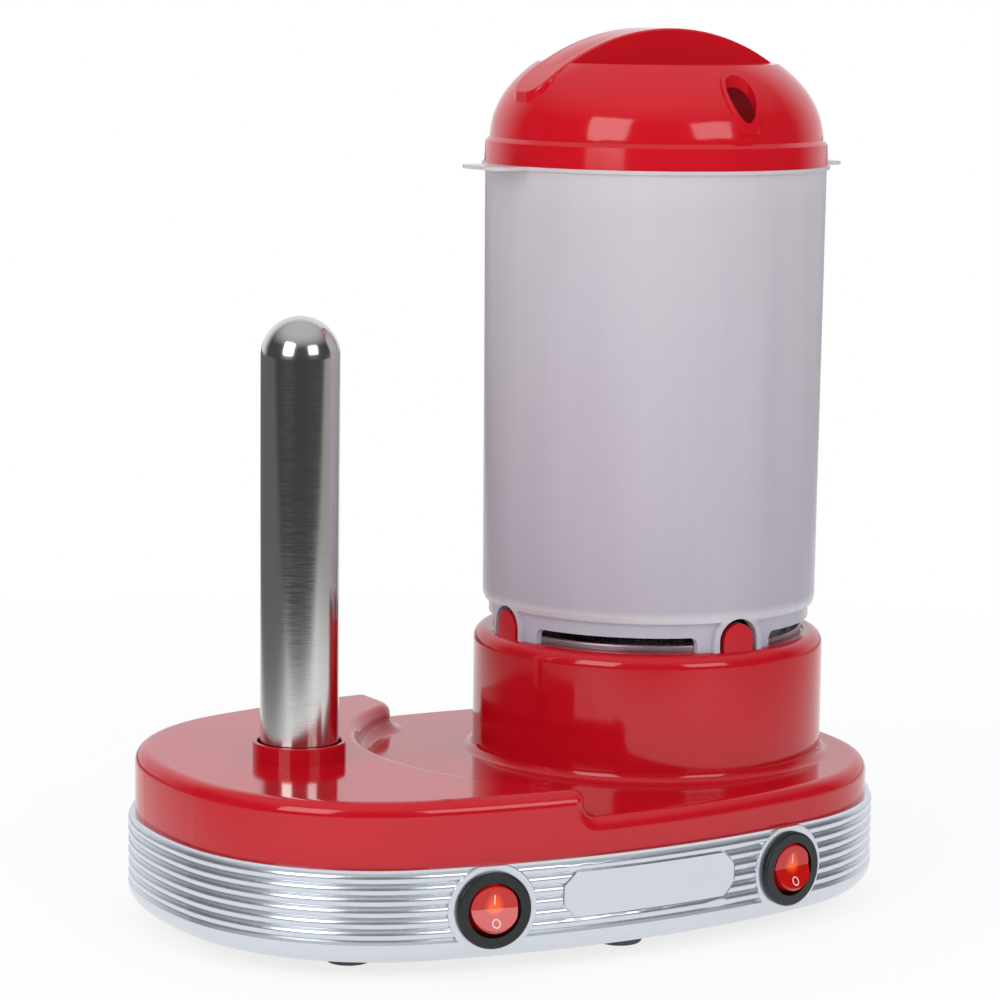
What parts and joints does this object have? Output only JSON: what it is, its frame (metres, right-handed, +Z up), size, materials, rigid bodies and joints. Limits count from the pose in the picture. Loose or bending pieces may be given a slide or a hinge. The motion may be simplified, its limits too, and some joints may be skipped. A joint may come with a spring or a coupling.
{
  "type": "hot dog toaster",
  "caption": "Table-top hot dog toaster with a steam boiler under a frosted container with a domed lid, a warming spike for rolls and a ribbed base with lit rocker switches.",
  "frame": {"origin": "under the middle of the base, at the level of the feet", "axes": "+X from the warming spike to the boiler, +Y to the back (the switches face -Y), +Z up"},
  "size_m": [0.2414, 0.1664, 0.2742],
  "materials": {
    "red_plastic": "polished red polypropylene",
    "silver_plastic": "satin silver lacquer on plastic",
    "frosted_plastic": "translucent frosted polypropylene",
    "polished_steel": "polished stainless steel",
    "plated_steel": "zinc plated",
    "black_plastic": "black moulded plastic",
    "switch_black": "glossy black nylon",
    "rocker_red": "translucent red, lit from behind",
    "white_plastic": "moulded nylon",
    "ceramic": "unglazed ceramic",
    "lamp_glass": "neon lamp envelope",
    "brass": "bare",
    "rubber": "moulded",
    "seal_rubber": "silicone"
  },
  "bodies": {
    "base": {"top_cover": "red_plastic", "base_skirt": "silver_plastic", "base_plate": "black_plastic", "rubber_feet": "rubber", "base_screws": "plated_steel", "spike_tube": "polished_steel", "spike_flange": "polished_steel", "spike_collar": "red_plastic", "spike_heater": "plated_steel", "heater_spacers": "ceramic", "spike_clamp": "plated_steel", "spike_clamp_screws": "plated_steel", "boiler_dish": "polished_steel", "boiler_seal": "seal_rubber", "heating_element": "plated_steel", "thermostat": "black_plastic", "thermal_fuse": "plated_steel", "element_bracket": "plated_steel", "heat_shield": "plated_steel", "bracket_screws": "plated_steel", "cord_gland": "black_plastic", "gland_nut": "black_plastic", "terminal_block": "white_plastic", "left_switch_housing": "switch_black", "left_rocker_pivot": "plated_steel", "left_switch_lamp": "lamp_glass", "left_switch_terminals": "brass", "right_switch_housing": "switch_black", "right_rocker_pivot": "plated_steel", "right_switch_lamp": "lamp_glass", "right_switch_terminals": "brass"},
    "left_rocker": {"left_rocker": "rocker_red"},
    "right_rocker": {"right_rocker": "rocker_red"},
    "container": {"container": "frosted_plastic"},
    "lid": {"lid": "red_plastic"}
  },
  "joints": [
    {"name": "left_switch_rock", "type": "hinge", "parent": "base", "child": "left_rocker", "pos_m": [-0.04948, -0.07645, 0.0203], "axis": [0.9843, -0.1765, 0], "range_deg": [0, 18]},
    {"name": "right_switch_rock", "type": "hinge", "parent": "base", "child": "right_rocker", "pos_m": [0.05463, -0.07548, 0.0203], "axis": [0.9808, 0.1949, 0], "range_deg": [0, 18]},
    {"name": "container_lift", "type": "slide", "parent": "base", "child": "container", "axis": [0, 0, 1], "range_m": [0, 0.16]},
    {"name": "lid_lift", "type": "slide", "parent": "container", "child": "lid", "axis": [0, 0, 1], "range_m": [0, 0.06]}
  ]
}
